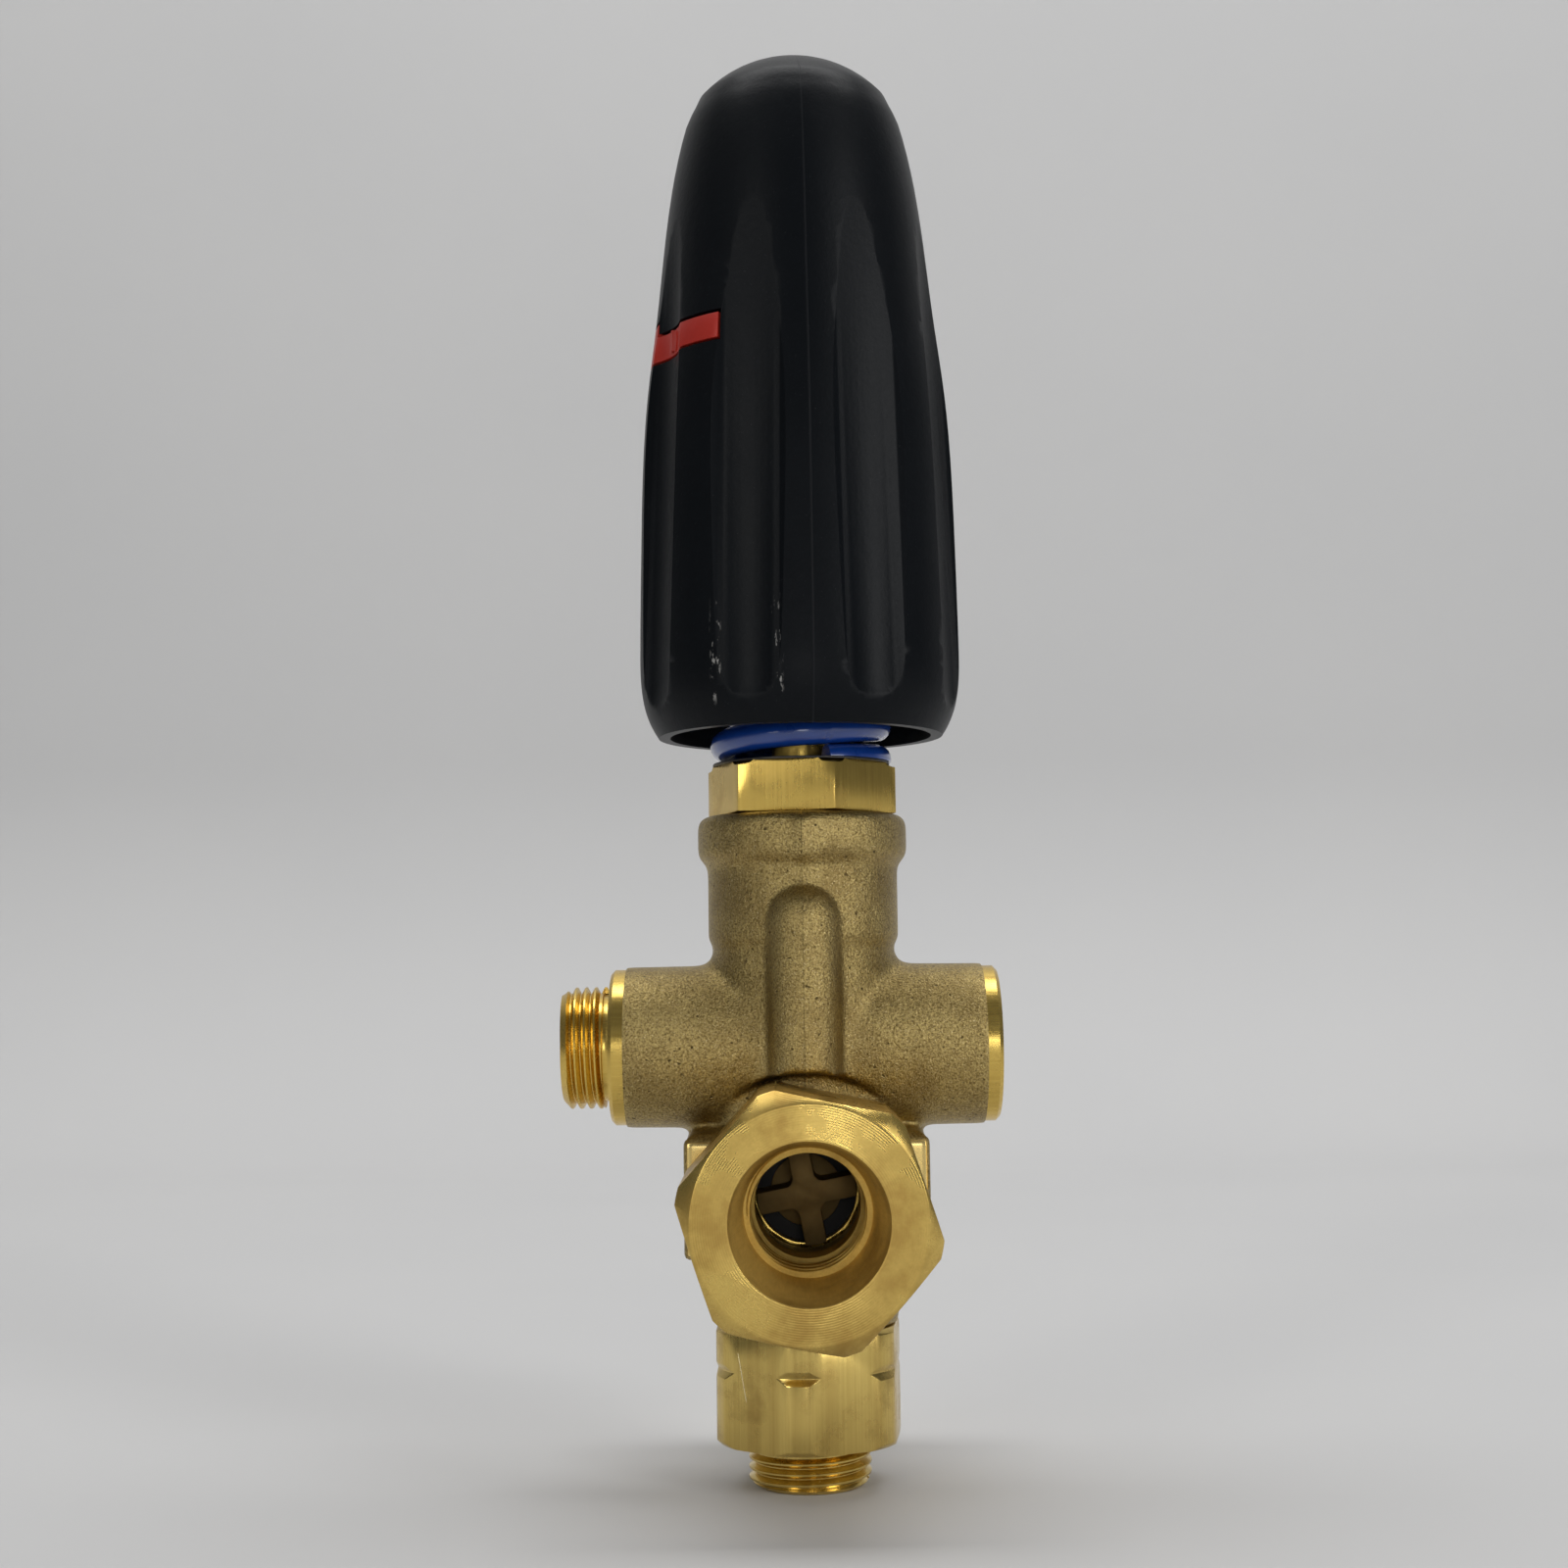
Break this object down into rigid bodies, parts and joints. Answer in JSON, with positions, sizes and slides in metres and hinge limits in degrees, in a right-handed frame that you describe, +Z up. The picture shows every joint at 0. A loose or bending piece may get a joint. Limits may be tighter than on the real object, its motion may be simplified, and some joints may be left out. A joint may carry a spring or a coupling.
{
  "type": "pressure relief valve",
  "caption": "Brass unloader relief valve: tapered fluted knob over a blue spring, forged body with side bypass ports, hexagon inlet in front and a threaded outlet below.",
  "frame": {"origin": "centre of the outlet thread's shoulder, under the outlet adapter's hexagon", "axes": "+Z up the stem to the knob, -Y out of the inlet fitting, +X out of the open bypass port"},
  "size_m": [0.0596, 0.0625, 0.2003],
  "materials": {
    "forged_brass": "sand-blasted hot forging, fine sparkling grain",
    "turned_brass": "machined, light turning and drawing marks",
    "poppet_brass": "machined, dull",
    "steel": "ground stainless steel",
    "dark_steel": "blackened steel",
    "blue_spring": "glossy blue enamel over spring steel",
    "black_plastic": "moulded blue-black nylon, fine grain",
    "red_plastic": "moulded red plastic, satin",
    "seal_rubber": "black nitrile",
    "seal_ptfe": "white PTFE"
  },
  "bodies": {
    "housing": {"valve_body": "forged_brass", "bonnet_nut": "turned_brass", "bonnet_o_ring": "seal_rubber", "stem_o_ring": "seal_rubber", "stem_backup_ring": "seal_ptfe", "inlet_fitting": "turned_brass", "inlet_o_ring": "seal_rubber", "bypass_nipple": "turned_brass", "nipple_seal_ring": "seal_ptfe", "shutter_seat": "steel", "shutter_seat_o_ring": "seal_rubber", "check_seat": "turned_brass", "check_seat_o_ring": "seal_rubber", "check_spring": "steel", "check_plug": "turned_brass", "check_plug_o_ring": "seal_rubber", "sense_ball": "steel", "outlet_adapter": "turned_brass", "outlet_gasket": "seal_ptfe", "lower_spring_plate": "dark_steel", "main_spring": "blue_spring"},
    "stem": {"stem": "turned_brass", "piston": "turned_brass", "piston_o_ring": "seal_rubber", "piston_backup_ring": "seal_ptfe", "piston_nut": "steel", "shutter": "steel", "stop_nut": "steel"},
    "adjuster": {"upper_spring_plate": "dark_steel", "thrust_washer": "seal_ptfe"},
    "knob": {"knob": "black_plastic", "adjusting_bush": "turned_brass"},
    "lock_clip": {"knob_lock_clip": "red_plastic"},
    "poppet": {"check_poppet": "poppet_brass", "poppet_seal": "seal_rubber"}
  },
  "joints": [
    {"name": "stem_slide", "type": "slide", "parent": "housing", "child": "stem", "axis": [0, 0, 1], "range_m": [-0.0018, 0], "stiffness_N_per_m": 2000, "springref_m": 0.004, "deforming": ["main_spring"]},
    {"name": "adjust_slide", "type": "slide", "parent": "stem", "child": "adjuster", "axis": [0, 0, 1], "range_m": [-0.0063, 0], "deforming": ["main_spring"]},
    {"name": "knob_turn", "type": "hinge", "parent": "adjuster", "child": "knob", "pos_m": [0, 0, 0.14], "axis": [0, 0, 1], "range_deg": [-1800, 0]},
    {"name": "clip_pull", "type": "slide", "parent": "knob", "child": "lock_clip", "axis": [-0.9972, -0.075, 0], "range_m": [0, 0.024]},
    {"name": "poppet_slide", "type": "slide", "parent": "housing", "child": "poppet", "axis": [0, 1, 0], "range_m": [0, 0.003], "stiffness_N_per_m": 150, "springref_m": -0.004, "deforming": ["check_spring"]}
  ],
  "couplings": [
    {"joint": "adjust_slide", "follows": "knob_turn", "m_per_rad": 0.00019894}
  ]
}
